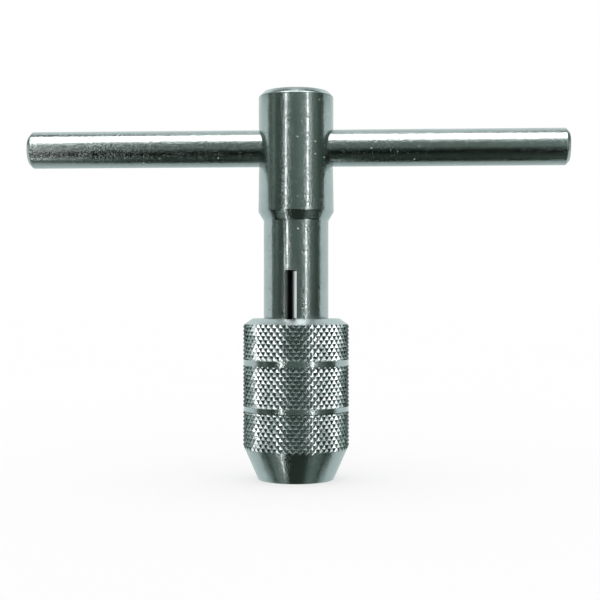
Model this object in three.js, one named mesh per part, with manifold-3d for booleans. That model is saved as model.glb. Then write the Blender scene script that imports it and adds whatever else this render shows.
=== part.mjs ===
// Tap wrench with a sliding T bar, in millimetres, +Z up.
// The origin is the centre of the chuck nut's nose, on which the tool stands; +X runs along the bar.
// A slotted spindle carries the bar in its head. Two jaws slide in the slot of its lower end. The
// chuck nut's inner cone closes them on the square of a tap, and a sprung plunger opens them again.
import * as THREE from 'three';
import { mergeVertices } from 'three/addons/utils/BufferGeometryUtils.js';
import Module from 'manifold-3d';

const wasm = await Module();
wasm.setup();

// Driving dimensions
const ROUND_STEPS = 72;
const RUNNING_GAP = 0.3;

// Spindle, from its slotted lower end to the top of its head
const SPINDLE_END_Z = 8.5;
const THREAD_TOP_Z = 30;
const SHOULDER_Z = 49;
const HEAD_BASE_Z = 50.7;
const HEAD_TOP_Z = 73.5;
const THREAD_R = 5.9;
const SHANK_R = 6.14;
const HEAD_R = 7.1;
const HEAD_BASE_R = 7.16;
const HEAD_WAIST_R = 7.04;
const HEAD_WAIST_Z = 59;
const HEAD_CHAMFER = 1;
const BORE_R = 4.6;
const BORE_TOP_Z = 29.4;

// Slot sawn across the spindle, a little off square to the bar
const SLOT_WIDTH = 2.1;
const SLOT_TOP_Z = 39.6;
const SLOT_TURN = THREE.MathUtils.degToRad(-5.9);

// Sliding bar
const BAR_R = 3.5;
const BAR_LENGTH = 102.6;
const BAR_Z = 62.8;
const BAR_CHAMFER = 0.7;
const BAR_HOLE_GAP = 0.1;
const BAR_HOLE_SINK = 0.5;

// Friction ball, spring and screw over the bar
const BALL_R = 1.25;
const BALL_HOLE_R = 1.5;
const SCREW_R = 2.2;
const SCREW_HOLE_R = 2.4;
const SCREW_LENGTH = 2.2;
const SCREW_DEPTH = 0.3;
const SCREW_HEX = 2.5;
const SCREW_SOCKET_DEPTH = 1.4;

// Chuck nut
const NUT_TOP_Z = 30.5;
const NUT_R = 10.07;
const NUT_LAND_R = 9.97;
const NUT_TOP_R = 8.3;
const NUT_TOP_CHAMFER_Z = 29.3;
const NUT_BANDS = [[6.6, 13.07], [13.97, 21.66], [22.76, 29.15]];
const NOSE_R = 7.15;
const NOSE_TOP_Z = 6.6;
const MOUTH_R = 4.5;
const MOUTH_CHAMFER = 0.5;
const CONE_BASE_Z = 3;
const CONE_SLOPE = Math.tan(THREE.MathUtils.degToRad(20));
const NUT_CAVITY_R = 6.4;
const NUT_THREAD_R = 6.15;
const NUT_THREAD_Z = [12.5, 25.5];

// Jaws, drawn open
const JAW_BASE_Z = 3.8;
const JAW_TOP_Z = 18;
const JAW_R = BORE_R - RUNNING_GAP;
const JAW_FACE_Y = 1.4;
const NOTCH_APEX_Y = 4.3;
const FIN_WIDTH = 1.7;
const FIN_ROOT_Y = 3.9;
const FIN_REACH = NUT_CAVITY_R - RUNNING_GAP;
const FIN_SHOULDER_Z = 9.2;
const FIN_GUIDE_Y = 5.1;

// Plunger that opens the jaws, and its spring
const TIP_R = 1.5;
const TIP_Z = 13;
const TIP_SLOPE = CONE_SLOPE * Math.SQRT1_2;
const TIP_TOP_R = 3.55;
const COLLAR_R = 4.3;
const COLLAR_BASE_Z = 21.2;
const COLLAR_TOP_Z = 23.6;
const STEM_R = 2;
const STEM_TOP_Z = 25.6;
const SPRING_END_GAP = 0.15;

function steel(color, roughness) {
  return new THREE.MeshStandardMaterial({ color, roughness, metalness: 1 });
}

const platedSteel = () => steel(0xb9c0be, 0.16);
const satinSteel = () => steel(0xa7adab, 0.3);
const hardSteel = () => steel(0x5d6060, 0.42);
const springSteel = () => steel(0x8f9290, 0.3);
const blackSteel = () => steel(0x2b2c2d, 0.5);

// A closed solid of the geometry, with its shared vertices merged and its empty triangles dropped.
function solidOf(geometry) {
  const bare = geometry.clone();
  bare.deleteAttribute('normal');
  bare.deleteAttribute('uv');
  const merged = mergeVertices(bare, 1e-4);
  const index = merged.index.array;
  const triangles = [];
  for (let i = 0; i < index.length; i += 3) {
    const [a, b, c] = index.slice(i, i + 3);
    if (a !== b && b !== c && c !== a) triangles.push(a, b, c);
  }
  const mesh = new wasm.Mesh({
    numProp: 3,
    vertProperties: new Float32Array(merged.attributes.position.array),
    triVerts: new Uint32Array(triangles),
  });
  return new wasm.Manifold(mesh);
}

function geometryOf(solid) {
  const mesh = solid.getMesh();
  const geometry = new THREE.BufferGeometry();
  geometry.setAttribute('position', new THREE.BufferAttribute(mesh.vertProperties, 3));
  geometry.setIndex(new THREE.BufferAttribute(mesh.triVerts, 1));
  geometry.computeVertexNormals();
  return geometry;
}

function named(name, solid, material) {
  const mesh = new THREE.Mesh(geometryOf(solid), material);
  mesh.name = name;
  return mesh;
}

// A body turned about Z from an outline of [radius, z] points.
function turned(outline, steps = ROUND_STEPS) {
  const points = outline.map(([radius, z]) => new THREE.Vector2(radius, z));
  const geometry = new THREE.LatheGeometry(points, steps);
  geometry.rotateX(Math.PI / 2);
  return solidOf(geometry);
}

function cylinderAlongZ(radius, lowZ, highZ, steps = ROUND_STEPS) {
  const geometry = new THREE.CylinderGeometry(radius, radius, highZ - lowZ, steps);
  geometry.rotateX(Math.PI / 2);
  geometry.translate(0, 0, (lowZ + highZ) / 2);
  return solidOf(geometry);
}

function slotCutter() {
  const depth = 3 * HEAD_R;
  const height = SLOT_TOP_Z;
  const geometry = new THREE.BoxGeometry(SLOT_WIDTH, depth, height);
  geometry.translate(0, 0, height / 2);
  geometry.rotateZ(SLOT_TURN);
  return solidOf(geometry);
}

// The bar's hole along X, with a small countersink at each mouth.
function barHoleCutter() {
  const radius = BAR_R + BAR_HOLE_GAP;
  const half = HEAD_R + 1;
  const sinkX = HEAD_R - BAR_HOLE_SINK;
  const sinkR = radius + half - sinkX;
  const cutter = new THREE.LatheGeometry([
    new THREE.Vector2(0, -half),
    new THREE.Vector2(sinkR, -half),
    new THREE.Vector2(radius, -sinkX),
    new THREE.Vector2(radius, sinkX),
    new THREE.Vector2(sinkR, half),
    new THREE.Vector2(0, half),
  ], ROUND_STEPS);
  cutter.rotateZ(-Math.PI / 2);
  cutter.translate(0, 0, BAR_Z);
  return solidOf(cutter);
}

function spindle() {
  const coneTopZ = SPINDLE_END_Z + (THREAD_R - spindleEndR()) / CONE_SLOPE;
  const body = turned([
    [0, BORE_TOP_Z],
    [BORE_R, BORE_TOP_Z],
    [BORE_R, SPINDLE_END_Z],
    [spindleEndR(), SPINDLE_END_Z],
    [THREAD_R, coneTopZ],
    [THREAD_R, THREAD_TOP_Z],
    [SHANK_R, THREAD_TOP_Z + SHANK_R - THREAD_R],
    [SHANK_R, SHOULDER_Z],
    [HEAD_BASE_R, HEAD_BASE_Z],
    [HEAD_WAIST_R, HEAD_WAIST_Z],
    [HEAD_R, HEAD_TOP_Z - HEAD_CHAMFER],
    [HEAD_R - HEAD_CHAMFER, HEAD_TOP_Z],
    [0, HEAD_TOP_Z],
  ]);
  const ballHole = cylinderAlongZ(BALL_HOLE_R, BAR_Z, HEAD_TOP_Z - 1, 32);
  const screwHole = cylinderAlongZ(SCREW_HOLE_R, screwBaseZ() - RUNNING_GAP, HEAD_TOP_Z + 1, 40);
  return body.subtract(slotCutter())
    .subtract(barHoleCutter())
    .subtract(ballHole)
    .subtract(screwHole);
}

// The spindle's lower end tapers like the nut's cone, and stays clear of it with the nut raised.
function spindleEndR() {
  return BORE_R + 0.4;
}

function screwBaseZ() {
  return HEAD_TOP_Z - SCREW_DEPTH - SCREW_LENGTH;
}

function handleBar() {
  const half = BAR_LENGTH / 2;
  return turned([
    [0, -half],
    [BAR_R - BAR_CHAMFER, -half],
    [BAR_R, BAR_CHAMFER - half],
    [BAR_R, half - BAR_CHAMFER],
    [BAR_R - BAR_CHAMFER, half],
    [0, half],
  ]);
}

function frictionBall() {
  const geometry = new THREE.SphereGeometry(BALL_R, 24, 14);
  return solidOf(geometry);
}

function frictionScrew() {
  const body = cylinderAlongZ(SCREW_R, 0, SCREW_LENGTH, 40);
  const socketR = SCREW_HEX / Math.sqrt(3);
  return body.subtract(cylinderAlongZ(socketR, SCREW_LENGTH - SCREW_SOCKET_DEPTH, SCREW_LENGTH + 1, 6));
}

// Outer outline of the nut: nose cone, three bands for the knurl and the plain lands between them.
function nutOutside() {
  const outline = [[NOSE_R, 0]];
  for (const [low, high] of NUT_BANDS) {
    if (low > NOSE_TOP_Z) outline.push([NUT_LAND_R, low]);
    outline.push([NUT_R, low]);
    outline.push([NUT_R, high]);
    outline.push([NUT_LAND_R, high]);
  }
  outline.push([NUT_LAND_R, NUT_TOP_CHAMFER_Z]);
  outline.push([NUT_TOP_R, NUT_TOP_Z]);
  return outline;
}

function nutInside() {
  const coneTopZ = CONE_BASE_Z + (NUT_CAVITY_R - MOUTH_R) / CONE_SLOPE;
  const [threadLow, threadHigh] = NUT_THREAD_Z;
  return [
    [NUT_CAVITY_R, NUT_TOP_Z],
    [NUT_CAVITY_R, threadHigh],
    [NUT_THREAD_R, threadHigh - (NUT_CAVITY_R - NUT_THREAD_R)],
    [NUT_THREAD_R, threadLow + (NUT_CAVITY_R - NUT_THREAD_R)],
    [NUT_CAVITY_R, threadLow],
    [NUT_CAVITY_R, coneTopZ],
    [MOUTH_R, CONE_BASE_Z],
    [MOUTH_R, MOUTH_CHAMFER],
    [MOUTH_R + MOUTH_CHAMFER, 0],
  ];
}

function chuckNut() {
  const outside = nutOutside();
  return turned([...outside, ...nutInside(), outside[0]]);
}

// One jaw on the +Y side: a block with half of the V-notched socket, and a fin that fills the slot
// and bears on the nut's cone.
function jaw() {
  const edgeX = Math.sqrt(JAW_R ** 2 - JAW_FACE_Y ** 2);
  const edgeAngle = Math.asin(JAW_FACE_Y / JAW_R);
  const section = new THREE.Shape();
  section.moveTo(edgeX, JAW_FACE_Y);
  section.absarc(0, 0, JAW_R, edgeAngle, Math.PI - edgeAngle, false);
  section.lineTo(JAW_FACE_Y - NOTCH_APEX_Y, JAW_FACE_Y);
  section.lineTo(FIN_ROOT_Y - NOTCH_APEX_Y, FIN_ROOT_Y);
  section.lineTo(NOTCH_APEX_Y - FIN_ROOT_Y, FIN_ROOT_Y);
  section.lineTo(NOTCH_APEX_Y - JAW_FACE_Y, JAW_FACE_Y);
  section.closePath();
  const block = new THREE.ExtrudeGeometry(section, {
    depth: JAW_TOP_Z - JAW_BASE_Z,
    bevelEnabled: false,
    curveSegments: 24,
  });
  block.translate(0, 0, JAW_BASE_Z);
  return solidOf(block).add(jawFin());
}

function jawFin() {
  const reachAtBase = MOUTH_R - RUNNING_GAP + (JAW_BASE_Z - CONE_BASE_Z) * CONE_SLOPE;
  const reachTopZ = JAW_BASE_Z + (FIN_REACH - reachAtBase) / CONE_SLOPE;
  const side = new THREE.Shape();
  side.moveTo(FIN_ROOT_Y, JAW_BASE_Z);
  side.lineTo(reachAtBase, JAW_BASE_Z);
  side.lineTo(FIN_REACH, reachTopZ);
  side.lineTo(FIN_REACH, FIN_SHOULDER_Z);
  side.lineTo(FIN_GUIDE_Y, FIN_SHOULDER_Z + FIN_REACH - FIN_GUIDE_Y);
  side.lineTo(FIN_GUIDE_Y, JAW_TOP_Z);
  side.lineTo(FIN_ROOT_Y, JAW_TOP_Z);
  side.closePath();
  const fin = new THREE.ExtrudeGeometry(side, { depth: FIN_WIDTH, bevelEnabled: false });
  // (along, up, across) becomes (y, z, x)
  fin.translate(0, 0, -FIN_WIDTH / 2);
  fin.rotateX(Math.PI / 2);
  fin.rotateZ(Math.PI / 2);
  return solidOf(fin);
}

// The tip's slope is the cone's slope times the cosine of the notch's half-angle, so the plunger
// rises as far as the nut does while the notched jaws close.
function jawPlunger() {
  return turned([
    [0, TIP_Z],
    [TIP_R, TIP_Z],
    [TIP_TOP_R, TIP_Z + (TIP_TOP_R - TIP_R) / TIP_SLOPE],
    [COLLAR_R, COLLAR_BASE_Z],
    [COLLAR_R, COLLAR_TOP_Z],
    [STEM_R, COLLAR_TOP_Z],
    [STEM_R, STEM_TOP_Z],
    [0, STEM_TOP_Z],
  ]);
}

// A coil of round wire about Z, from lowZ to highZ over its wire.
class Coil extends THREE.Curve {
  constructor(radius, lowZ, highZ, turns) {
    super();
    this.radius = radius;
    this.lowZ = lowZ;
    this.highZ = highZ;
    this.turns = turns;
  }

  getPoint(t, target = new THREE.Vector3()) {
    const angle = 2 * Math.PI * this.turns * t;
    const z = THREE.MathUtils.lerp(this.lowZ, this.highZ, t);
    return target.set(this.radius * Math.cos(angle), this.radius * Math.sin(angle), z);
  }
}

function spring(coilR, wireR, lowZ, highZ, turns) {
  const path = new Coil(coilR, lowZ + wireR, highZ - wireR, turns);
  const wire = new THREE.Shape();
  wire.absarc(0, 0, wireR, 0, 2 * Math.PI, false);
  const geometry = new THREE.ExtrudeGeometry(wire, {
    steps: turns * 16,
    extrudePath: path,
    curveSegments: 4,
  });
  return solidOf(geometry);
}

function frictionGroup() {
  const group = new THREE.Group();
  const ball = named('friction_ball', frictionBall(), hardSteel());
  ball.position.z = BAR_Z + BAR_R + BALL_R + BAR_HOLE_GAP;
  const ballTopZ = ball.position.z + BALL_R;
  const coil = spring(0.95, 0.2, ballTopZ, screwBaseZ() - SPRING_END_GAP, 3);
  const screw = named('friction_screw', frictionScrew(), blackSteel());
  screw.position.z = screwBaseZ();
  group.add(ball, named('friction_spring', coil, springSteel()), screw);
  return group;
}

// The parts that the slot guides turn with it.
function jawGroup() {
  const group = new THREE.Group();
  const rearJaw = named('rear_jaw', jaw(), hardSteel());
  const frontJaw = named('front_jaw', jaw(), hardSteel());
  frontJaw.rotation.z = Math.PI;
  group.add(rearJaw, frontJaw);
  group.rotation.z = SLOT_TURN;
  return group;
}

function plungerGroup() {
  const group = new THREE.Group();
  const coil = spring(
    3.35, 0.25, COLLAR_TOP_Z + SPRING_END_GAP, BORE_TOP_Z - SPRING_END_GAP, 5,
  );
  group.add(
    named('jaw_plunger', jawPlunger(), satinSteel()),
    named('plunger_spring', coil, springSteel()),
  );
  return group;
}

const bar = named('handle_bar', handleBar(), platedSteel());
bar.position.z = BAR_Z;
bar.rotation.y = Math.PI / 2;

const tapWrench = new THREE.Group();
tapWrench.add(
  named('spindle', spindle(), platedSteel()),
  bar,
  frictionGroup(),
  named('chuck_nut', chuckNut(), platedSteel()),
  jawGroup(),
  plungerGroup(),
);

export default tapWrench;
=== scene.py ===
"""Looks of the tap wrench: fine turned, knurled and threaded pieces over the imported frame."""
import math
import random

import bmesh
import bpy
from mathutils import Matrix, Vector


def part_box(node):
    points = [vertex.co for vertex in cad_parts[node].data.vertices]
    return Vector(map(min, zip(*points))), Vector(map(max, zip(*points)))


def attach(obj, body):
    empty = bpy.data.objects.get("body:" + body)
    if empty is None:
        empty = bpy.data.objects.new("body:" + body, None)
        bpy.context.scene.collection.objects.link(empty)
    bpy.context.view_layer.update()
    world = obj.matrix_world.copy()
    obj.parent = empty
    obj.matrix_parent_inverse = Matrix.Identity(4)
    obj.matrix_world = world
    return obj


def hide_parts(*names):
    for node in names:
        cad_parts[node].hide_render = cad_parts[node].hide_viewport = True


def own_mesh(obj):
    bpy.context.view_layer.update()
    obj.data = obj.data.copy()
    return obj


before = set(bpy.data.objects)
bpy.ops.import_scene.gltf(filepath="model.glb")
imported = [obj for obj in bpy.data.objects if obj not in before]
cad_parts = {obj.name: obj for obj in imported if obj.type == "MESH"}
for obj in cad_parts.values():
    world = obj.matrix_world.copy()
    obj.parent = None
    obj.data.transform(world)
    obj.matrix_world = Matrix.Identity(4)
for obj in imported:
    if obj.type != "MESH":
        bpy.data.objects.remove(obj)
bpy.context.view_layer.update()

MM = 0.001
TAU = 2 * math.pi

# Thread of the spindle and the nut, which the CAD solids don't carry
PITCH = 1.0 * MM

# Knurl, which they don't carry either. Rows of its pyramids lie half a step apart. The flat and the
# wander are shares of half a pyramid.
KNURL_STARTS = 50
KNURL_STEP = 1.48 * MM
KNURL_DEPTH = 0.4 * MM
KNURL_FLAT = 0.07
KNURL_WANDER = 0.07
KNURL_WEAR = 0.03 * MM
KNURL_LOW = 5.2 * MM
KNURL_HIGH = 30.4 * MM
KNURL_TURN = math.radians(0.37)

# Slot through the shank
SLOT_WIDTH = 2.1 * MM
SLOT_TOP = 39.6 * MM
SLOT_TURN = math.radians(-5.9)
SHANK_R = 6.14 * MM

# Camera: level, in front of the slot and a little to its right
CAMERA_AZIMUTH = math.radians(3.55)
CAMERA_DISTANCE = 232.6 * MM
CAMERA_HEIGHT = 34.0 * MM
CAMERA_ASIDE = 0.745 * MM
CAMERA_LENS = 73.4


# Mesh helpers

def new_object(name, data):
    obj = bpy.data.objects.new(name, data)
    bpy.context.scene.collection.objects.link(obj)
    return obj


def mesh_from(name, verts, faces, smooth=True):
    mesh = bpy.data.meshes.new(name)
    mesh.from_pydata([tuple(v) for v in verts], [], faces)
    mesh.validate()
    for polygon in mesh.polygons:
        polygon.use_smooth = smooth
    mesh.update()
    return mesh


def rounded(outline, radius, steps=3):
    """The outline with each inner corner rounded by an arc of about that radius."""
    points = [outline[0]]
    for before, corner, after in zip(outline, outline[1:], outline[2:]):
        b, c, a = Vector(before), Vector(corner), Vector(after)
        reach = min(radius, 0.45 * (b - c).length, 0.45 * (a - c).length)
        start = c + (b - c).normalized() * reach
        end = c + (a - c).normalized() * reach
        for i in range(steps + 1):
            t = i / steps
            points.append(tuple(start.lerp(c, t).lerp(c.lerp(end, t), t)))
    points.append(outline[-1])
    return points


def revolve(name, outline, columns=144, shape=None, closed=False):
    """A body turned about Z from (radius, z) points. Points on the axis become one vertex each.
    shape(angle, radius, z), if given, returns the radius there."""
    verts = []
    rings = []
    for radius, z in outline:
        if radius < 1e-9:
            rings.append([len(verts)])
            verts.append((0, 0, z))
            continue
        ring = []
        for i in range(columns):
            angle = TAU * i / columns
            r = shape(angle, radius, z) if shape else radius
            ring.append(len(verts))
            verts.append((r * math.cos(angle), r * math.sin(angle), z))
        rings.append(ring)
    faces = []
    pairs = list(zip(rings, rings[1:]))
    if closed:
        pairs.append((rings[-1], rings[0]))
    for low, high in pairs:
        for i in range(columns):
            j = (i + 1) % columns
            if len(low) == 1:
                faces.append((low[0], high[j], high[i]))
            elif len(high) == 1:
                faces.append((low[i], low[j], high[0]))
            else:
                faces.append((low[i], low[j], high[j], high[i]))
    return mesh_from(name, verts, faces)


def combined(operation, mesh, *others):
    """The mesh joined with the other solids, cut by them or kept only inside them."""
    obj = new_object("combined", mesh)
    tools = []
    for other in others:
        tool = new_object("tool", other)
        tools.append(tool)
        modifier = obj.modifiers.new("combined", "BOOLEAN")
        modifier.operation = operation
        modifier.solver = "EXACT"
        modifier.object = tool
    result = bpy.data.meshes.new_from_object(
        obj.evaluated_get(bpy.context.evaluated_depsgraph_get()))
    for item in (obj, *tools):
        bpy.data.objects.remove(item)
    return result


def prism(name, section, low, high):
    """A solid between z low and z high with that (x, y) outline."""
    count = len(section)
    verts = [(x, y, low) for x, y in section] + [(x, y, high) for x, y in section]
    faces = [tuple(reversed(range(count))), tuple(range(count, 2 * count))]
    for i in range(count):
        j = (i + 1) % count
        faces.append((i, j, count + j, count + i))
    return mesh_from(name, verts, faces, smooth=False)


def sharpen(mesh, degrees=32):
    """Marks edges that turn by more than this as sharp, so flat and round faces shade apart."""
    work = bmesh.new()
    work.from_mesh(mesh)
    bmesh.ops.remove_doubles(work, verts=work.verts, dist=1e-7)
    for edge in work.edges:
        if len(edge.link_faces) == 2:
            edge.smooth = edge.calc_face_angle(0) < math.radians(degrees)
    for face in work.faces:
        face.smooth = True
    work.to_mesh(mesh)
    work.free()
    return mesh


def place(name, mesh, body, replaced, material, soften=0):
    """Adds the piece to the scene: it rides on the body and stands for the CAD node. soften is
    the width of the bevel on its sharp edges."""
    mesh.name = name
    mesh.materials.clear()
    mesh.materials.append(material)
    obj = new_object(name, mesh)
    if soften:
        modifier = obj.modifiers.new("edges", "BEVEL")
        modifier.width = soften
        modifier.segments = 2
        modifier.limit_method = "ANGLE"
        modifier.angle_limit = math.radians(32)
        modifier.harden_normals = True
    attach(obj, body)
    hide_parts(replaced)
    return obj


def mm(points):
    """Outline points given in millimetres, in metres."""
    return [(a * MM, b * MM) for a, b in points]


def turned_to_x(mesh, z=0):
    """The mesh with its Z axis laid along X, at height z."""
    mesh.transform(Matrix.Translation((0, 0, z)) @ Matrix.Rotation(math.pi / 2, 4, "Y"))
    return mesh


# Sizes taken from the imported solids

bar_low, bar_high = (Vector(v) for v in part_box("handle_bar"))
nut_high = Vector(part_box("chuck_nut")[1])
jaw_low, jaw_high = (Vector(v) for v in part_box("rear_jaw"))
coil_low, coil_high = (Vector(v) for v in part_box("plunger_spring"))
ball_low, ball_high = (Vector(v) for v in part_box("friction_ball"))
ball_coil_low, ball_coil_high = (Vector(v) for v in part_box("friction_spring"))
screw_low, screw_high = (Vector(v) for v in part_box("friction_screw"))

BAR_R = (bar_high.z - bar_low.z) / 2
BAR_Z = (bar_high.z + bar_low.z) / 2
NUT_R = nut_high.x
NUT_LAND_R = NUT_R - 0.1 * MM

# The heights of the nut's three knurled bands. The plain lands lie between them.
NUT_BANDS = mm([(6.6, 13.07), (13.97, 21.66), (22.76, 29.3)])


# Threads and knurl

def thread(phase):
    """Height of a thread's flank from root 0 to crest 1, with a small flat at each."""
    root_flat = 0.1
    flank = 0.75
    rise = 1 - abs(2 * (phase % 1) - 1)
    return min(1, max(0, (rise - root_flat) / flank))


def threaded(low, high, depth, fade, pitch=PITCH):
    """A radius function that cuts a right-hand thread between z low and z high. The thread fades
    out over fade at both ends."""
    def shape(angle, radius, z):
        if not low < z < high:
            return radius
        near_end = min(1, (z - low) / fade, (high - z) / fade)
        level = thread(z / pitch - angle / TAU)
        return radius - depth * (1 - level) * near_end
    return shape


def rows(low, high, step):
    """Heights from low to high, that step apart or a little less."""
    count = max(1, math.ceil((high - low) / step))
    return [low + (high - low) * i / count for i in range(count + 1)]


def knurled_bar(low, high):
    """A closed bar whose skin between those heights is a lattice of small pyramids with flat tops.
    Grooves cross at the lattice points, and each pyramid stands between four of them. Each one's
    top sits a little off its place and is worn by a different amount."""
    root = NUT_R - KNURL_DEPTH
    half_turn = math.pi / KNURL_STARTS
    rise = KNURL_STEP / 2
    row_count = math.ceil((high - low) / rise)
    plain_end = 7 * MM
    uneven = random.Random(5)
    verts = []

    def add(radius, angle, z):
        verts.append((radius * math.cos(angle), radius * math.sin(angle), z))
        return len(verts) - 1

    crossings = []
    for row in range(row_count + 1):
        z = low + row * rise
        crossings.append([add(root, (2 * k + row % 2) * half_turn, z)
                          for k in range(KNURL_STARTS)])
    faces = []
    for row in range(1, row_count):
        z = low + row * rise
        odd = row % 2
        for k in range(KNURL_STARTS):
            angle = (2 * k + 1 + odd + uneven.uniform(-KNURL_WANDER, KNURL_WANDER)) * half_turn
            above = (k + odd) % KNURL_STARTS
            crest = NUT_R - uneven.uniform(0, KNURL_WEAR)
            height = z + uneven.uniform(-KNURL_WANDER, KNURL_WANDER) * rise
            corners = [crossings[row - 1][above], crossings[row][(k + 1) % KNURL_STARTS],
                       crossings[row + 1][above], crossings[row][k]]
            top = [add(crest, angle, height - KNURL_FLAT * rise),
                   add(crest, angle + KNURL_FLAT * half_turn, height),
                   add(crest, angle, height + KNURL_FLAT * rise),
                   add(crest, angle - KNURL_FLAT * half_turn, height)]
            faces.append(tuple(top))
            for i in range(4):
                j = (i + 1) % 4
                faces.append((corners[i], corners[j], top[j], top[i]))
    for end_rows, end, flip in (((0, 1), low - plain_end, False),
                                ((row_count - 1, row_count), high + plain_end, True)):
        even_row, odd_row = sorted(end_rows, key=lambda row: row % 2)
        rim = [vert for pair in zip(crossings[even_row], crossings[odd_row]) for vert in pair]
        ring = [add(root, i * half_turn, end) for i in range(2 * KNURL_STARTS)]
        for i in range(2 * KNURL_STARTS):
            j = (i + 1) % (2 * KNURL_STARTS)
            face = (ring[i], ring[j], rim[j], rim[i])
            faces.append(face[::-1] if flip else face)
        faces.append(tuple(ring if flip else reversed(ring)))
    return mesh_from("knurled_bar", verts, faces)


# Pieces

def spindle_mesh():
    """The spindle: its bore and lower end, then the thread, then the shank, the head and the
    screw's hole, less the slot and the bar's hole."""
    thread_crest = 5.9 * MM
    thread_root = 5.35 * MM
    thread_low = 11 * MM
    thread_high = 29.9 * MM
    outline = rounded(mm([
        (0, 29.4), (4.6, 29.4), (4.6, 8.9), (4.8, 8.5), (5.0, 8.5), (5.9, 10.97),
    ]), 0.1 * MM)
    outline += [(thread_crest, z) for z in rows(thread_low, thread_high, PITCH / 6)]
    outline += rounded(mm([
        (5.9, 30.0), (6.14, 30.24), (6.14, 49.0), (7.16, 50.7), (7.04, 59.0), (7.09, 66.0),
        (7.1, 72.5), (6.1, 73.5), (2.7, 73.5), (2.4, 73.2), (2.4, 71.0), (1.5, 71.0),
        (1.5, 64.0), (0, 64.0),
    ]), 0.14 * MM)
    shape = threaded(thread_low, thread_high, thread_crest - thread_root, PITCH)
    return combined("DIFFERENCE", revolve("spindle", outline, shape=shape),
                    slot_cutter(), bar_hole_cutter())


def slot_cutter():
    """A blade through the shank that widens at the surface, to leave the slot's edges rounded."""
    half = SLOT_WIDTH / 2
    edge_r = 0.14 * MM
    far = 9 * MM
    steps = 5
    centre_x = half + edge_r
    centre_y = math.sqrt((SHANK_R - edge_r) ** 2 - centre_x ** 2)
    leave = math.atan2(centre_y, centre_x)
    quarter = []
    for i in range(steps + 1):
        a = math.pi + (leave - math.pi) * i / steps
        quarter.append((centre_x + edge_r * math.cos(a), centre_y + edge_r * math.sin(a)))
    last_x, last_y = quarter[-1]
    quarter.append((last_x * far / last_y, far))
    outline = [(x, -y) for x, y in reversed(quarter)] + quarter
    outline += [(-x, y) for x, y in reversed(quarter)] + [(-x, -y) for x, y in quarter]
    cutter = prism("slot", outline, 0, SLOT_TOP)
    cutter.transform(Matrix.Rotation(SLOT_TURN, 4, "Z"))
    return cutter


def bar_hole_cutter():
    """The bar's hole, with a little clearance and widening where it meets the head's surface."""
    radius = BAR_R + 0.1 * MM
    reach = 9 * MM
    sink = 6.75 * MM
    outline = [(0, -reach), (radius + reach - sink, -reach), (radius, -sink),
               (radius, sink), (radius + reach - sink, reach), (0, reach)]
    return turned_to_x(revolve("bar_hole", outline, 96), BAR_Z)


def nut_mesh():
    """The chuck nut: a knurled bar, filled to plain lands, kept inside the turned outline."""
    sleeve = knurled_bar(KNURL_LOW, KNURL_HIGH)
    sleeve.transform(Matrix.Rotation(KNURL_TURN, 4, "Z"))
    return combined("INTERSECT", nut_envelope(), combined("UNION", sleeve, *land_fillings()))


def land_gaps():
    """The heights between which each plain land runs."""
    return [(lower[1], upper[0]) for lower, upper in zip(NUT_BANDS, NUT_BANDS[1:])]


def land_fillings():
    """Rings that fill the knurl's grooves at the lands, a little above the finished surface."""
    inner = 8 * MM
    outer = NUT_LAND_R + 0.02 * MM
    return [revolve("land", [(inner, low), (outer, low), (outer, high), (inner, high)], 90,
                    closed=True) for low, high in land_gaps()]


def nut_envelope():
    """The nut's turned outline, wider than the knurl along its bands, and its inside: the closing
    cone, the cavity and the thread."""
    clear = 10.6 * MM
    edge = 0.05 * MM
    nose_r = 7.15 * MM
    nose_slope = (NUT_R - nose_r) / NUT_BANDS[0][0]
    top = nut_high.z
    top_r = 8.3 * MM
    top_slope = (NUT_LAND_R - top_r) / (top - NUT_BANDS[-1][1])
    below_knurl = 5.3 * MM
    outline = rounded([(4.5 * MM, 0.6 * MM), (5.0 * MM, 0), (nose_r, 0),
                       (nose_r + nose_slope * below_knurl, below_knurl)], 0.16 * MM)
    outline.append((clear, (clear - nose_r) / nose_slope))
    for low, high in land_gaps():
        outline += [(clear, low + edge), (NUT_LAND_R, low + edge), (NUT_LAND_R, high - edge),
                    (clear, high - edge)]
    outline += rounded([(clear, top - (clear - top_r) / top_slope), (top_r, top),
                        (6.6 * MM, top), (6.4 * MM, top - 0.2 * MM), (6.4 * MM, 25.6 * MM)],
                       0.12 * MM)
    thread_low = 12.6 * MM
    thread_high = 25.4 * MM
    thread_depth = 0.56 * MM
    bore_r = 6.13 * MM
    outline += [(bore_r, z) for z in reversed(rows(thread_low, thread_high, PITCH / 4))]
    outline += rounded(mm([(6.4, 12.4), (6.4, 8.22), (4.5, 3.0), (4.5, 0.6)]), 0.1 * MM)[:-1]
    bore_thread = threaded(thread_low, thread_high, thread_depth, PITCH)

    def shape(angle, radius, z):
        return bore_thread(angle, radius, z) if radius == bore_r else radius

    return revolve("chuck_nut", outline, 180, shape, closed=True)


def bar_mesh():
    """The handle bar, with a chamfer at each end."""
    half = (bar_high.x - bar_low.x) / 2
    chamfer = 0.7 * MM
    face = BAR_R - chamfer
    outline = [(0, -half)]
    outline += rounded([(face / 2, -half), (face, -half), (BAR_R, chamfer - half),
                        (BAR_R, -half / 2)], 0.12 * MM)
    outline += [(r, -z) for r, z in reversed(outline)]
    return turned_to_x(revolve("handle_bar", outline, 128), BAR_Z)


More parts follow.
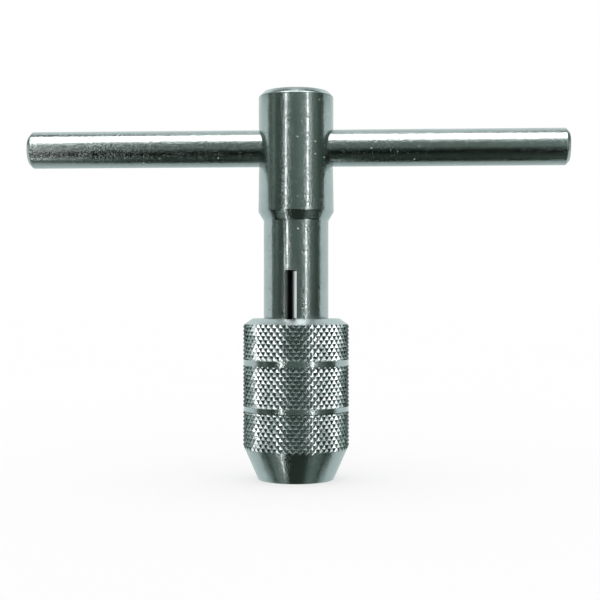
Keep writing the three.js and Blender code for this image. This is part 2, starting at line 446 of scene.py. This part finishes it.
def jaw_mesh(side):
    """A jaw with half of the notched socket, serrated on its two flats. side is 1 at the rear."""
    low, high = jaw_low.z, jaw_high.z
    back_r = 4.3 * MM
    face_y = 1.4 * MM
    apex_y = 4.3 * MM
    root_y = 3.9 * MM
    bite = 0.12 * MM
    teeth = 5
    steps = 24
    edge = math.asin(face_y / back_r)
    arc = [edge + (math.pi - 2 * edge) * i / steps for i in range(steps + 1)]
    section = [(back_r * math.cos(a), back_r * math.sin(a)) for a in arc]
    flank = []
    for i in range(2 * teeth + 1):
        along = i / (2 * teeth)
        x = (apex_y - face_y) * (1 - along) + (apex_y - root_y) * along
        sink = bite if i % 2 else 0
        flank.append((x + sink * math.sqrt(0.5), apex_y - x + sink * math.sqrt(0.5)))
    section += [(-x, y) for x, y in flank] + list(reversed(flank))
    block = prism("jaw", section, low, high)
    half_width = 0.85 * MM
    side_view = mm([(3.8, 3.8), (4.49, 3.8), (6.1, 8.22), (6.1, 9.2), (5.1, 10.2), (5.1, 18),
                    (3.8, 18)])
    fin = prism("fin", side_view, -half_width, half_width)
    stand_up = Matrix(((0, 0, 1, 0), (1, 0, 0, 0), (0, 1, 0, 0), (0, 0, 0, 1)))
    fin.transform(stand_up)
    jaw = combined("UNION", block, fin)
    turn = SLOT_TURN if side > 0 else SLOT_TURN + math.pi
    jaw.transform(Matrix.Rotation(turn, 4, "Z"))
    return jaw


def plunger_mesh():
    """The jaw plunger: a tapered tip, a collar and a short pin inside the spring."""
    outline = mm([(0, 13), (1.5, 13), (3.55, 20.97), (4.3, 21.2), (4.3, 23.6), (2.0, 23.6),
                  (2.0, 25.6), (0, 25.6)])
    return revolve("jaw_plunger", rounded(outline, 0.15 * MM), 96)


def coil_mesh(name, radius, wire, low, high, active, around=10, per_turn=28):
    """A compression spring about Z with one closed turn at each end."""
    turns = active + 2
    count = turns * per_turn
    closed_rise = 2.1 * wire  # just over one wire thickness, since wire is its radius
    bottom = low + wire
    top = high - wire
    active_rise = (top - bottom - 2 * closed_rise) / active
    verts = []
    for i in range(count + 1):
        turn = i / per_turn
        if turn < 1:
            z = bottom + closed_rise * turn
        elif turn > turns - 1:
            z = top - closed_rise * (turns - turn)
        else:
            z = bottom + closed_rise + active_rise * (turn - 1)
        angle = TAU * turn
        out = Vector((math.cos(angle), math.sin(angle), 0))
        centre = out * radius + Vector((0, 0, z))
        for k in range(around):
            a = TAU * k / around
            verts.append(centre + out * (wire * math.cos(a)) + Vector((0, 0, wire * math.sin(a))))
    faces = []
    for i in range(count):
        for k in range(around):
            m = (k + 1) % around
            faces.append((i * around + k, i * around + m,
                          (i + 1) * around + m, (i + 1) * around + k))
    faces.append(tuple(range(around)))
    faces.append(tuple(reversed(range(count * around, (count + 1) * around))))
    return mesh_from(name, verts, faces)


def ball_mesh():
    centre = (ball_low + ball_high) / 2
    radius = (ball_high.z - ball_low.z) / 2
    steps = 24
    outline = []
    for i in range(steps + 1):
        a = math.pi * i / steps - math.pi / 2
        outline.append((max(0, radius * math.cos(a)), centre.z + radius * math.sin(a)))
    outline[0] = (0, outline[0][1])
    outline[-1] = (0, outline[-1][1])
    return revolve("friction_ball", outline, 48)


def screw_mesh():
    """The friction screw, with a hexagonal socket in its top."""
    low, high = screw_low.z, screw_high.z
    crest = screw_high.x
    pitch = 0.6 * MM
    depth = 0.28 * MM
    across_flats = 2.5 * MM
    outline = [(0, low), (1.3 * MM, low), (crest - 0.3 * MM, low + 0.2 * MM)]
    outline += [(crest, z) for z in rows(low + 0.3 * MM, high - 0.15 * MM, pitch / 8)]
    outline += [(crest - 0.2 * MM, high), (0, high)]
    shape = threaded(low + 0.25 * MM, high - 0.1 * MM, depth, pitch / 2, pitch)
    socket_r = across_flats / math.sqrt(3)
    hexagon = [(socket_r * math.cos(TAU * i / 6), socket_r * math.sin(TAU * i / 6))
               for i in range(6)]
    socket = prism("socket", hexagon, high - 1.4 * MM, high + MM)
    return combined("DIFFERENCE", revolve("friction_screw", outline, 96, shape), socket)


# Materials

def make_nodes(name):
    material = bpy.data.materials.new(name)
    material.use_nodes = True
    tree = material.node_tree
    return material, tree, tree.nodes["Principled BSDF"]


def link(tree, source, target):
    tree.links.new(source, target)


def noise(tree, coords, scale, detail=2, rough=0.5):
    node = tree.nodes.new("ShaderNodeTexNoise")
    node.inputs["Scale"].default_value = scale
    node.inputs["Detail"].default_value = detail
    node.inputs["Roughness"].default_value = rough
    link(tree, coords, node.inputs["Vector"])
    return node.outputs["Fac"]


def stretched(tree, coords, scale):
    node = tree.nodes.new("ShaderNodeMapping")
    node.inputs["Scale"].default_value = scale
    link(tree, coords, node.inputs["Vector"])
    return node.outputs["Vector"]


def ramp(tree, value, low, high, out_low=0, out_high=1):
    node = tree.nodes.new("ShaderNodeMapRange")
    node.inputs["From Min"].default_value = low
    node.inputs["From Max"].default_value = high
    node.inputs["To Min"].default_value = out_low
    node.inputs["To Max"].default_value = out_high
    link(tree, value, node.inputs["Value"])
    return node.outputs["Result"]


def calculate(tree, operation, a, b=0):
    node = tree.nodes.new("ShaderNodeMath")
    node.operation = operation
    for socket, value in zip(node.inputs, (a, b)):
        if isinstance(value, (int, float)):
            socket.default_value = value
        else:
            link(tree, value, socket)
    return node.outputs["Value"]


def soft_step(tree, value, low, high):
    """0 below low, 1 above high and smooth between, or the other way round if low is above high."""
    node = tree.nodes.new("ShaderNodeMapRange")
    node.interpolation_type = "SMOOTHSTEP"
    node.inputs["From Min"].default_value = min(low, high)
    node.inputs["From Max"].default_value = max(low, high)
    node.inputs["To Min"].default_value = 0 if low < high else 1
    node.inputs["To Max"].default_value = 1 if low < high else 0
    link(tree, value, node.inputs["Value"])
    return node.outputs["Result"]


def band(tree, value, low, high, soft):
    """1 between low and high, falling to 0 over soft outside them."""
    rise = soft_step(tree, value, low - soft, low)
    fall = soft_step(tree, value, high + soft, high)
    return calculate(tree, "MULTIPLY", rise, fall)


def mixed(tree, factor, a, b):
    node = tree.nodes.new("ShaderNodeMix")
    node.data_type = "RGBA"
    link(tree, factor, node.inputs["Factor"])
    for socket, value in ((node.inputs["A"], a), (node.inputs["B"], b)):
        if isinstance(value, tuple):
            socket.default_value = (*value, 1)
        else:
            link(tree, value, socket)
    return node.outputs["Result"]


def bumped(tree, height, distance, strength=1, onto=None):
    node = tree.nodes.new("ShaderNodeBump")
    node.inputs["Strength"].default_value = strength
    node.inputs["Distance"].default_value = distance
    link(tree, height, node.inputs["Height"])
    if onto:
        link(tree, onto, node.inputs["Normal"])
    return node.outputs["Normal"]


def pits(tree, coords, scale, size, share):
    """1 inside scattered round pits, 0 elsewhere. About that share of the cells have one."""
    node = tree.nodes.new("ShaderNodeTexVoronoi")
    node.inputs["Scale"].default_value = scale
    link(tree, coords, node.inputs["Vector"])
    inside = ramp(tree, node.outputs["Distance"], size, size * 0.5)
    cell = tree.nodes.new("ShaderNodeSeparateColor")
    link(tree, node.outputs["Color"], cell.inputs["Color"])
    chosen = calculate(tree, "LESS_THAN", cell.outputs["Red"], share)
    return calculate(tree, "MULTIPLY", inside, chosen)


def shifted(tree, coords, offset):
    node = tree.nodes.new("ShaderNodeVectorMath")
    node.operation = "ADD"
    node.inputs[1].default_value = offset
    link(tree, coords, node.inputs[0])
    return node.outputs["Vector"]


def height_of(tree, coords):
    axes = tree.nodes.new("ShaderNodeSeparateXYZ")
    link(tree, coords, axes.inputs["Vector"])
    return axes.outputs["Z"]


def distance_from_axis(tree, coords):
    flat = tree.nodes.new("ShaderNodeVectorMath")
    flat.operation = "MULTIPLY"
    flat.inputs[1].default_value = (1, 1, 0)
    link(tree, coords, flat.inputs[0])
    length = tree.nodes.new("ShaderNodeVectorMath")
    length.operation = "LENGTH"
    link(tree, flat.outputs["Vector"], length.inputs[0])
    return length.outputs["Value"]


def painted_slot_shade(tree, coords):
    """0 on the plated outside, rising to 1 towards the axis inside the slot and the bore, which are
    painted dark there as shade. The middle of that dark part lies a little in front of the axis, so
    the back, where light comes through the slot from behind, is painted paler."""
    middle_ahead = 0.6 * MM
    darkest_r = 1.0 * MM
    plated_r = 6.1 * MM
    moved = shifted(tree, coords, (0, middle_ahead, 0))
    outward = soft_step(tree, distance_from_axis(tree, moved), darkest_r, plated_r)
    below_top = calculate(tree, "LESS_THAN", height_of(tree, coords), SLOT_TOP + MM)
    return calculate(tree, "MULTIPLY", calculate(tree, "SUBTRACT", 1, outward), below_top)


def turned_chamfer(tree, coords):
    """1 on the nut's top chamfer, which is left as turned, and 0 below it."""
    chamfer_z = nut_high.z - 1.2 * MM
    return calculate(tree, "GREATER_THAN", height_of(tree, coords), chamfer_z)


# Painted highlight: the pale colour of the small glints painted beside the pits
PAINTED_GLINT = (0.8, 0.85, 0.83)
# Painted shade: the black that the insides of the slot and the bore are painted
SLOT_SHADE_BLACK = (0.02, 0.03, 0.024)
PIT_CELLS = 1250
GLINT_OFFSET = (0.14 * MM, 0, 0.05 * MM)
GRAIN_HEIGHT = 0.05 * MM
DUST_HEIGHT = 0.03 * MM
PIT_DEPTH = 0.06 * MM


def steel(name, tint, dark, roughness, grain, stretch=(1, 1, 1), pit=0.0, ripple=0.2,
          inside=None, dull=None):
    """Worn metal: uneven tint and roughness, fine grain along its machining, a grainy skin and
    small pits painted darker as shade, each with a pale painted glint beside it. grain is the
    machining's depth in millimetres, stretch its direction, pit the share of cells that hold a pit,
    and ripple the strength of the grainy skin. inside masks a part painted black and non-metallic
    as shade, and dull a part with a rougher cut."""
    material, tree, shader = make_nodes(name)
    coords = tree.nodes.new("ShaderNodeTexCoord").outputs["Object"]
    patches = noise(tree, coords, 260, 3)
    specks = noise(tree, coords, 4200, 2, 0.7)
    lines = noise(tree, stretched(tree, coords, stretch), 5200, 3, 0.6)
    holes = pits(tree, coords, PIT_CELLS, 0.2, pit)
    # Painted highlights: pale, less metallic spots beside the pits, standing in for glints on their
    # rims
    painted_glints = pits(tree, shifted(tree, coords, GLINT_OFFSET), PIT_CELLS, 0.17, pit)
    uneven = mixed(tree, ramp(tree, patches, 0.35, 0.7), tint, tuple(c * 0.93 for c in tint))
    worn = mixed(tree, ramp(tree, specks, 0.6, 0.75, 0, 0.45), uneven, dark)
    # Painted shade: the pits are painted darker, as the shade in them
    pits_shaded = mixed(tree, ramp(tree, holes, 0, 1, 0, 0.8), worn, dark)
    colour = mixed(tree, painted_glints, pits_shaded, PAINTED_GLINT)
    metal = ramp(tree, painted_glints, 0, 1, 1, 0.25)
    spread = ramp(tree, calculate(tree, "ADD", patches, specks), 0.75, 1.25,
                  roughness * 0.75, roughness * 1.35)
    # Painted shade inside the slot and the bore: black colour, more roughness, no metal and no
    # specular level there
    if inside:
        shade_inside = inside(tree, coords)
        colour = mixed(tree, ramp(tree, shade_inside, 0.1, 0.9), colour, SLOT_SHADE_BLACK)
        spread = calculate(tree, "ADD", spread, ramp(tree, shade_inside, 0, 0.4, 0, 0.45))
        metal = calculate(tree, "MULTIPLY", metal, ramp(tree, shade_inside, 0.02, 0.8, 1, 0))
        shader.inputs["Specular IOR Level"].default_value = 0
    if dull:
        rough_cut = dull(tree, coords)
        spread = calculate(tree, "ADD", spread, ramp(tree, rough_cut, 0, 1, 0, 0.1))
        lines = calculate(tree, "MULTIPLY", lines, ramp(tree, rough_cut, 0, 1, 1, 12))
    link(tree, colour, shader.inputs["Base Color"])
    link(tree, metal, shader.inputs["Metallic"])
    link(tree, spread, shader.inputs["Roughness"])
    skin = bumped(tree, lines, grain * MM, 0.5)
    grains = ramp(tree, noise(tree, coords, 3300, 2, 0.6), 0.5, 0.8)
    skin = bumped(tree, grains, GRAIN_HEIGHT, ripple, skin)
    dust = ramp(tree, specks, 0.58, 0.72)
    skin = bumped(tree, dust, DUST_HEIGHT, ripple, skin)
    if pit:
        sunk = calculate(tree, "SUBTRACT", 1, holes)
        skin = bumped(tree, sunk, PIT_DEPTH, 1, skin)
    link(tree, skin, shader.inputs["Normal"])
    return material


AROUND = (0.02, 0.02, 1)
ALONG_X = (0.02, 1, 1)

# The spindle's slot and bore are painted black inside as shade
plated = steel("plated_steel", (0.50, 0.545, 0.54), (0.16, 0.19, 0.18), 0.10, 0.003, AROUND,
               pit=0.10, ripple=0.3, inside=painted_slot_shade)
plated_bar = steel("plated_bar", (0.51, 0.55, 0.545), (0.15, 0.18, 0.17), 0.12, 0.004, ALONG_X,
                   pit=0.12, ripple=0.38)
plated_nut = steel("plated_nut", (0.52, 0.565, 0.56), (0.16, 0.19, 0.18), 0.13, 0.006, AROUND,
                   pit=0.02, ripple=0.24, dull=turned_chamfer)
hardened = steel("hardened_steel", (0.30, 0.31, 0.32), (0.08, 0.08, 0.085), 0.34, 0.01)
turned = steel("turned_steel", (0.52, 0.53, 0.53), (0.2, 0.2, 0.2), 0.28, 0.012, AROUND)
wire = steel("spring_steel", (0.42, 0.43, 0.43), (0.14, 0.14, 0.14), 0.3, 0.006)
blackened = steel("black_steel", (0.06, 0.062, 0.065), (0.02, 0.02, 0.02), 0.4, 0.008)


# The tool

# The nut's cone and chamfer meet the knurl at a small angle, so its edges are marked from there.
NUT_SHARP_DEGREES = 14
JAW_EDGE = 0.08 * MM

place("spindle_body", sharpen(spindle_mesh()), "spindle", "spindle", plated)
place("knurled_nut", sharpen(nut_mesh(), NUT_SHARP_DEGREES), "chuck_nut", "chuck_nut",
      plated_nut)
place("tee_bar", sharpen(bar_mesh()), "handle_bar", "handle_bar", plated_bar)
place("jaw_rear", sharpen(jaw_mesh(1)), "rear_jaw", "rear_jaw", hardened,
      JAW_EDGE)
place("jaw_front", sharpen(jaw_mesh(-1)), "front_jaw", "front_jaw", hardened,
      JAW_EDGE)
place("opening_plunger", sharpen(plunger_mesh()), "jaw_plunger", "jaw_plunger",
      turned)
coil = place("opening_coil",
             coil_mesh("coil", 3.35 * MM, 0.25 * MM, coil_low.z, coil_high.z, 4),
             "spindle", "plunger_spring", wire)
place("set_ball", ball_mesh(), "spindle", "friction_ball", hardened)
place("set_coil",
      coil_mesh("set_coil", 0.95 * MM, 0.2 * MM, ball_coil_low.z, ball_coil_high.z, 2, 8, 20),
      "spindle", "friction_spring", wire)
place("set_screw", sharpen(screw_mesh()), "spindle", "friction_screw", blackened)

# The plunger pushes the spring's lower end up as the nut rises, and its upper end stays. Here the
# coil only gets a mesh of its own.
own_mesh(coil)


# Stage, light and camera

def floor():
    """A pale floor with some glow of its own, so that the tool throws only a faint shadow."""
    size = 3.0
    glow = 0.62
    lowest_tone = 0.97
    verts = [(-size, -size, 0), (size, -size, 0), (size, size, 0), (-size, size, 0)]
    obj = new_object("floor", mesh_from("floor", verts, [(0, 1, 2, 3)], smooth=False))
    material, tree, shader = make_nodes("pale_floor")
    coords = tree.nodes.new("ShaderNodeTexCoord").outputs["Object"]
    tone = noise(tree, coords, 12, 3)
    rest = 1 - glow
    darker = rest * lowest_tone
    link(tree, mixed(tree, tone, (darker, darker, darker), (rest, rest, rest)),
         shader.inputs["Base Color"])
    shader.inputs["Roughness"].default_value = 0.9
    shader.inputs["Specular IOR Level"].default_value = 0.0
    shader.inputs["Emission Color"].default_value = (1, 1, 1, 1)
    shader.inputs["Emission Strength"].default_value = glow
    obj.data.materials.append(material)
    obj.visible_glossy = False


def curve(tree, value, stops):
    """A colour or brightness that runs through (value, level) stops."""
    low, high = stops[0][0], stops[-1][0]
    node = tree.nodes.new("ShaderNodeValToRGB")
    elements = node.color_ramp.elements
    while len(elements) < len(stops):
        elements.new(0.5)
    for element, (at, level) in zip(elements, stops):
        element.position = (at - low) / (high - low)
        element.color = (*level, 1) if isinstance(level, tuple) else (level, level, level, 1)
    link(tree, ramp(tree, value, low, high), node.inputs["Fac"])
    return node.outputs["Color"]


def level_of(tree, colour):
    """The brightness of a grey colour."""
    node = tree.nodes.new("ShaderNodeSeparateColor")
    link(tree, colour, node.inputs["Color"])
    return node.outputs["Red"]


def total(tree, *values):
    """The sum of the values."""
    result = values[0]
    for value in values[1:]:
        result = calculate(tree, "ADD", result, value)
    return result


def product(tree, *values):
    """The values multiplied together."""
    result = values[0]
    for value in values[1:]:
        result = calculate(tree, "MULTIPLY", result, value)
    return result


def light_directions(tree):
    """Azimuth and elevation in degrees, seen from the object with the camera's side at 0, and the
    direction's parts to the right, towards the camera and up."""
    coords = tree.nodes.new("ShaderNodeTexCoord").outputs["Generated"]
    turn = tree.nodes.new("ShaderNodeVectorRotate")
    turn.rotation_type = "Z_AXIS"
    turn.inputs["Angle"].default_value = -CAMERA_AZIMUTH
    link(tree, coords, turn.inputs["Vector"])
    axes = tree.nodes.new("ShaderNodeSeparateXYZ")
    link(tree, turn.outputs["Vector"], axes.inputs["Vector"])
    right, away, up = axes.outputs
    toward = calculate(tree, "MULTIPLY", away, -1)
    degrees = 180 / math.pi
    side = product(tree, calculate(tree, "ARCTAN2", right, toward), degrees)
    rise = product(tree, calculate(tree, "ARCSINE", up), degrees)
    return side, rise, right, toward, up


def front_surround(tree, side, rise):
    """The dark side of the studio, behind the camera: brightness by azimuth at eye level, faded
    by height, and a paler ring low down, by azimuth too."""
    level = level_of(tree, curve(tree, side, [
        (-100, 0.16), (-88, 0.14), (-80, 0.14), (-76, 0.24), (-70, 0.24), (-64, 0.10),
        (-44, 0.09), (-36, 0.19), (0, 0.19), (16, 0.25), (48, 0.22), (66, 0.17), (76, 0.09),
        (100, 0.08)]))
    by_height = level_of(tree, curve(tree, rise, [
        (-90, 0.2), (-72, 0.16), (-40, 0.06), (-24, 0.08), (-12, 0.35), (-3, 0.95), (6, 1.0),
        (16, 1.0), (26, 1.3), (36, 1.6), (48, 2.0), (90, 2.0)]))
    low_level = level_of(tree, curve(tree, side, [
        (-100, 0.5), (-92, 0.08), (-85, 0.04), (-78, 0.2), (-56, 0.22), (-42, 0.16), (-34, 0.01),
        (0, 0.03), (34, 0.01), (42, 0.14), (58, 0.2), (76, 0.18), (84, 0.06), (92, 0.08),
        (100, 0.5)]))
    low_height = band(tree, rise, -66, -46, 10)
    return total(tree, product(tree, level, by_height), product(tree, low_level, low_height))


def soft_boxes(tree, side, rise, right, toward, up):
    """Two bright upright strips, of which the left one leans out below, a faint one beside the
    right one, and a panel overhead. Strips are placed by azimuth and elevation in degrees, and
    the panel on a plane one unit up."""
    strip_level = 4.2
    faint_level = 0.45
    panel_level = 3.2
    lean_out = 0.25
    below = calculate(tree, "MINIMUM", rise, 0)
    leaning = calculate(tree, "SUBTRACT", side, product(tree, below, lean_out))
    fainter_below = ramp(tree, band(tree, rise, -90, -40, 10), 0, 1, 1, 0.9)
    left = product(tree, band(tree, leaning, -32.3, -30.3, 1.4), band(tree, rise, -56, 48, 5),
                   fainter_below)
    main = product(tree, band(tree, side, 35, 37, 1.6), band(tree, rise, -34, 48, 5))
    faint = product(tree, band(tree, side, 46, 47.5, 1.5), band(tree, rise, -30, 40, 5))
    height = calculate(tree, "MAXIMUM", up, 0.02)
    lean = calculate(tree, "DIVIDE", toward, height)
    near = soft_step(tree, lean, 0.0, 0.1)
    far = soft_step(tree, lean, 1.2, 0.7)
    across = calculate(tree, "DIVIDE", right, height)
    wide = total(tree, product(tree, band(tree, across, -0.6, 0.6, 0.3), 0.88),
                 product(tree, band(tree, across, -1.3, 1.3, 0.3), 0.12))
    overhead = soft_step(tree, up, 0.1, 0.3)
    panel = product(tree, near, far, wide, overhead, panel_level)
    return total(tree, product(tree, total(tree, left, main), strip_level),
                 product(tree, faint, faint_level), panel)


def studio_light():
    """A white surround for the eye and the floor. Metal reflects a pale surround behind the
    object, a dark one in front of it, the upright soft boxes and the one overhead."""
    world = bpy.data.worlds.new("studio")
    bpy.context.scene.world = world
    world.use_nodes = True
    tree = world.node_tree
    side, rise, right, toward, up = light_directions(tree)
    front = front_surround(tree, side, rise)
    back = level_of(tree, curve(tree, rise, [
        (-90, 0.5), (-60, 0.58), (-40, 0.7), (0, 0.82), (40, 1.0), (60, 0.85), (71, 0.74),
        (84, 1.1), (90, 1.2)]))
    dim = product(tree, band(tree, calculate(tree, "ABSOLUTE", side), 94, 132, 12),
                  soft_step(tree, rise, 8, 20), 0.78)
    back = product(tree, back, calculate(tree, "SUBTRACT", 1, dim))

    # The dark side reaches further round below eye level
    dark_below = product(tree, soft_step(tree, rise, -20, -45), 0.17)
    behind = soft_step(tree, total(tree, toward, dark_below), -0.06, -0.12)
    mix = tree.nodes.new("ShaderNodeMix")
    link(tree, behind, mix.inputs["Factor"])
    link(tree, front, mix.inputs["A"])
    link(tree, back, mix.inputs["B"])
    level = total(tree, mix.outputs["Result"],
                  soft_boxes(tree, side, rise, right, toward, up))

    # Dim surfaces look greener than bright ones
    tint = curve(tree, level, [
        (0, (0.68, 1.0, 0.78)), (0.06, (0.70, 1.0, 0.80)), (0.2, (0.77, 1.0, 0.90)),
        (0.7, (0.86, 1.0, 0.99)), (2, (1.0, 1.0, 1.0))])
    scaled = tree.nodes.new("ShaderNodeVectorMath")
    scaled.operation = "SCALE"
    link(tree, tint, scaled.inputs[0])
    link(tree, level, scaled.inputs["Scale"])
    plain = tree.nodes.new("ShaderNodeBackground")
    plain.inputs["Color"].default_value = (1, 1, 1, 1)
    reflected = tree.nodes.new("ShaderNodeBackground")
    link(tree, scaled.outputs["Vector"], reflected.inputs["Color"])
    path = tree.nodes.new("ShaderNodeLightPath")
    choose = tree.nodes.new("ShaderNodeMixShader")
    link(tree, path.outputs["Is Glossy Ray"], choose.inputs["Fac"])
    link(tree, plain.outputs["Background"], choose.inputs[1])
    link(tree, reflected.outputs["Background"], choose.inputs[2])
    output = tree.nodes["World Output"]
    link(tree, choose.outputs["Shader"], output.inputs["Surface"])


def camera():
    """A level camera at the photograph's angle."""
    data = bpy.data.cameras.new("camera")
    data.lens = CAMERA_LENS
    obj = new_object("camera", data)
    back = Vector((math.sin(CAMERA_AZIMUTH), -math.cos(CAMERA_AZIMUTH), 0))
    right = Vector((math.cos(CAMERA_AZIMUTH), math.sin(CAMERA_AZIMUTH), 0))
    height = Vector((0, 0, CAMERA_HEIGHT))
    obj.location = back * CAMERA_DISTANCE + right * CAMERA_ASIDE + height
    obj.rotation_euler = (math.pi / 2, 0, CAMERA_AZIMUTH)
    bpy.context.scene.camera = obj


floor()
studio_light()
camera()
bpy.context.scene.view_settings.view_transform = "Standard"
